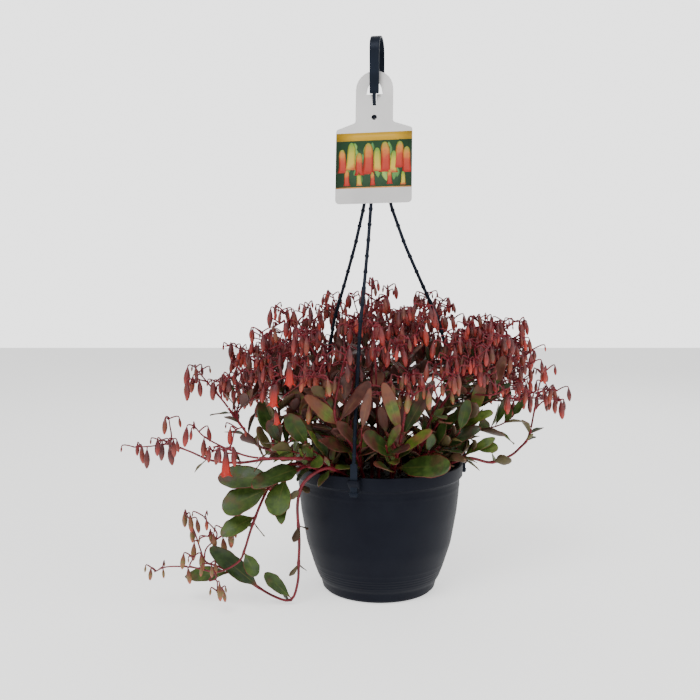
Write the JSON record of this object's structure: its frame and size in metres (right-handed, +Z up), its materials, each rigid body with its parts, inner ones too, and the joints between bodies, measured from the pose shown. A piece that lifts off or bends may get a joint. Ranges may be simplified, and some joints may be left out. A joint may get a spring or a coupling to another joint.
{
  "type": "kalanchoe hanging basket",
  "caption": "Trailing kalanchoe with drooping red buds in a plastic hanging pot, with a three-armed hanger, strap hook and plant tag.",
  "frame": {"origin": "middle of the pot's underside", "axes": "+Z up along the pot's axis, -Y the front that shows the tag, +X right as seen from the front"},
  "size_m": [0.4629, 0.2941, 0.5885],
  "materials": {
    "pot": "satin moulded plastic",
    "soil": "rough compost",
    "hanger": "smooth moulded plastic",
    "tag": "printed plastic sheet",
    "leaf": "fleshy leaf, slightly waxy",
    "spray": "soft matt petal"
  },
  "bodies": {
    "root": {"Pot": "pot", "Soil": "soil", "Hook": "hanger", "Arm_front": "hanger", "Arm_right": "hanger", "Arm_back_left": "hanger", "Tag": "tag", "Stem_left_long": "leaf", "Stem_left_upright": "leaf", "Stem_left_low": "leaf", "Stem_left_cluster": "leaf", "Stem_trailing_long": "leaf", "Stem_trailing_short": "leaf", "Stem_right_arch": "leaf", "Stem_right_high": "leaf", "Stem_front_left": "leaf", "Stem_front_right": "leaf", "Stem_front_low_right": "leaf", "Stem_front_high": "leaf", "Stem_front_crown": "leaf", "Stem_crown": "leaf", "Stem_left_front_high": "leaf", "Stem_left_high": "leaf", "Stem_left_back_high": "leaf", "Stem_left_back_low": "leaf", "Stem_back_left_high": "leaf", "Stem_back_left_low": "leaf", "Stem_back_high": "leaf", "Stem_back_right_low": "leaf", "Stem_back_right_high": "leaf", "Stem_right_back_low": "leaf", "Stem_right_front": "leaf", "Spray_left_long": "spray", "Spray_left_upright": "spray", "Spray_left_low": "spray", "Spray_trailing_long": "spray", "Spray_trailing_short": "spray", "Spray_right_arch": "spray", "Spray_right_high": "spray", "Spray_front_left": "spray", "Spray_front_right": "spray", "Spray_front_low_right": "spray", "Spray_front_high": "spray", "Spray_front_crown": "spray", "Spray_crown": "spray", "Spray_left_front_high": "spray", "Spray_left_high": "spray", "Spray_left_back_high": "spray", "Spray_left_back_low": "spray", "Spray_back_left_high": "spray", "Spray_back_left_low": "spray", "Spray_back_high": "spray", "Spray_back_right_low": "spray", "Spray_back_right_high": "spray", "Spray_right_back_low": "spray", "Spray_right_front": "spray"}
  },
  "joints": []
}
